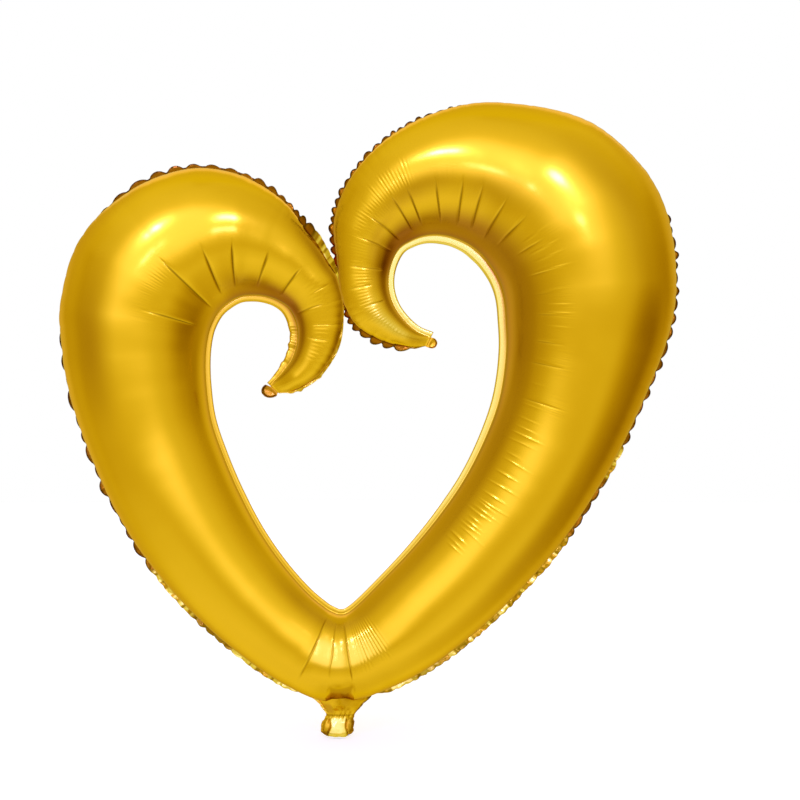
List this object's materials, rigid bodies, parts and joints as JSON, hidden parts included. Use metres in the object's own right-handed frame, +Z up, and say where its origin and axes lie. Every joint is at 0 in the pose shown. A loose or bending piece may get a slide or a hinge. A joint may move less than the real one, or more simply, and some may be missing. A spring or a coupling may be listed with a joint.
{
  "type": "heart-shaped foil balloon",
  "caption": "Inflated gold foil balloon shaped as an open heart outline: one tube with two inward-curling hooks and an inflation neck at the bottom point.",
  "frame": {"origin": "on the floor plane under the middle of the balloon's width, in the plane of the weld seam, level with the free end of the neck tail", "axes": "+X to the viewer's right across the heart, +Y away from the viewer through the thickness of the tube, +Z up from the neck tail to the top of the lobes; the front panel is on -Y"},
  "size_m": [0.8679, 0.2332, 0.8915],
  "materials": {
    "gold_foil_front": "metallised film, satin gloss",
    "gold_foil_back": "metallised film, satin gloss",
    "gold_foil_tail_front": "metallised film, creased",
    "gold_foil_tail_back": "metallised film, creased",
    "gold_foil_tab_left": "two welded plies, darker heat seal",
    "gold_foil_tab_right": "two welded plies, darker heat seal",
    "clear_valve_inlet_front": "clear plastic film",
    "clear_valve_inlet_back": "clear plastic film",
    "clear_valve_throat_front": "clear plastic film",
    "clear_valve_throat_back": "clear plastic film",
    "clear_valve_lip_front": "clear plastic film",
    "clear_valve_lip_back": "clear plastic film"
  },
  "bodies": {
    "envelope": {"front_foil_panel": "gold_foil_front", "back_foil_panel": "gold_foil_back", "valve_throat_front": "clear_valve_throat_front", "valve_throat_back": "clear_valve_throat_back"},
    "neck_tail": {"neck_tail_front": "gold_foil_tail_front", "neck_tail_back": "gold_foil_tail_back", "valve_inlet_front": "clear_valve_inlet_front", "valve_inlet_back": "clear_valve_inlet_back"},
    "valve_front": {"valve_lip_front": "clear_valve_lip_front"},
    "valve_back": {"valve_lip_back": "clear_valve_lip_back"},
    "left_tab": {"left_hook_tab": "gold_foil_tab_left"},
    "right_tab": {"right_hook_tab": "gold_foil_tab_right"}
  },
  "joints": [
    {"name": "neck_fold", "type": "hinge", "parent": "envelope", "child": "neck_tail", "pos_m": [-0.0425, 0, 0.029], "axis": [1, 0, 0], "range_deg": [-75, 75], "stiffness_Nm_per_rad": 0.004},
    {"name": "valve_front_open", "type": "hinge", "parent": "envelope", "child": "valve_front", "pos_m": [-0.0425, 0, 0.053], "axis": [1, 0, 0], "range_deg": [0, 12], "stiffness_Nm_per_rad": 0.002},
    {"name": "valve_back_open", "type": "hinge", "parent": "envelope", "child": "valve_back", "pos_m": [-0.0425, 0, 0.053], "axis": [1, 0, 0], "range_deg": [-12, 0], "stiffness_Nm_per_rad": 0.002},
    {"name": "left_tab_flex", "type": "hinge", "parent": "envelope", "child": "left_tab", "pos_m": [-0.13447, 0, 0.48553], "axis": [0.7071, 0, -0.7071], "range_deg": [-60, 60], "stiffness_Nm_per_rad": 0.002},
    {"name": "right_tab_flex", "type": "hinge", "parent": "envelope", "child": "right_tab", "pos_m": [0.08413, 0, 0.55243], "axis": [-0.4472, 0, -0.8944], "range_deg": [-60, 60], "stiffness_Nm_per_rad": 0.002}
  ],
  "couplings": [
    {"joint": "valve_back_open", "follows": "valve_front_open", "ratio": -1}
  ]
}
